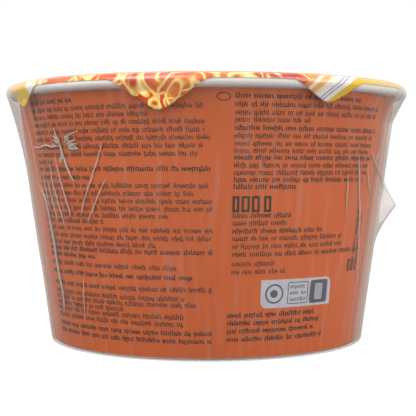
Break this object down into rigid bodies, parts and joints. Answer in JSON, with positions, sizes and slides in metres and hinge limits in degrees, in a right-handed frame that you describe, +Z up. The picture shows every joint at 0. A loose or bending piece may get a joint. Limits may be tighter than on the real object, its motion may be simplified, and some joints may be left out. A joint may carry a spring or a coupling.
{
  "type": "instant noodle cup",
  "caption": "Sealed round paper cup of instant noodles with a rolled rim, a printed side wrap, a paper lid folded over the rim and a clear shrink film.",
  "frame": {"origin": "centre of the flat face it stands on", "axes": "+Z up through the lid, -Y towards the printed information side, +X to that side's right"},
  "size_m": [0.1456, 0.1456, 0.091],
  "materials": {
    "white_paper": "coated white paper board, satin",
    "orange_print": "orange print on coated paper, satin",
    "lid_print": "glossy printed paper lid, yellow and red",
    "clear_film": "clear glossy shrink film with creases",
    "dark_ink": "dark brown print",
    "pale_print": "pale grey print"
  },
  "bodies": {
    "root": {"cup": "white_paper", "side_wrap": "orange_print", "lid": "lid_print", "film": "clear_film"}
  },
  "joints": []
}
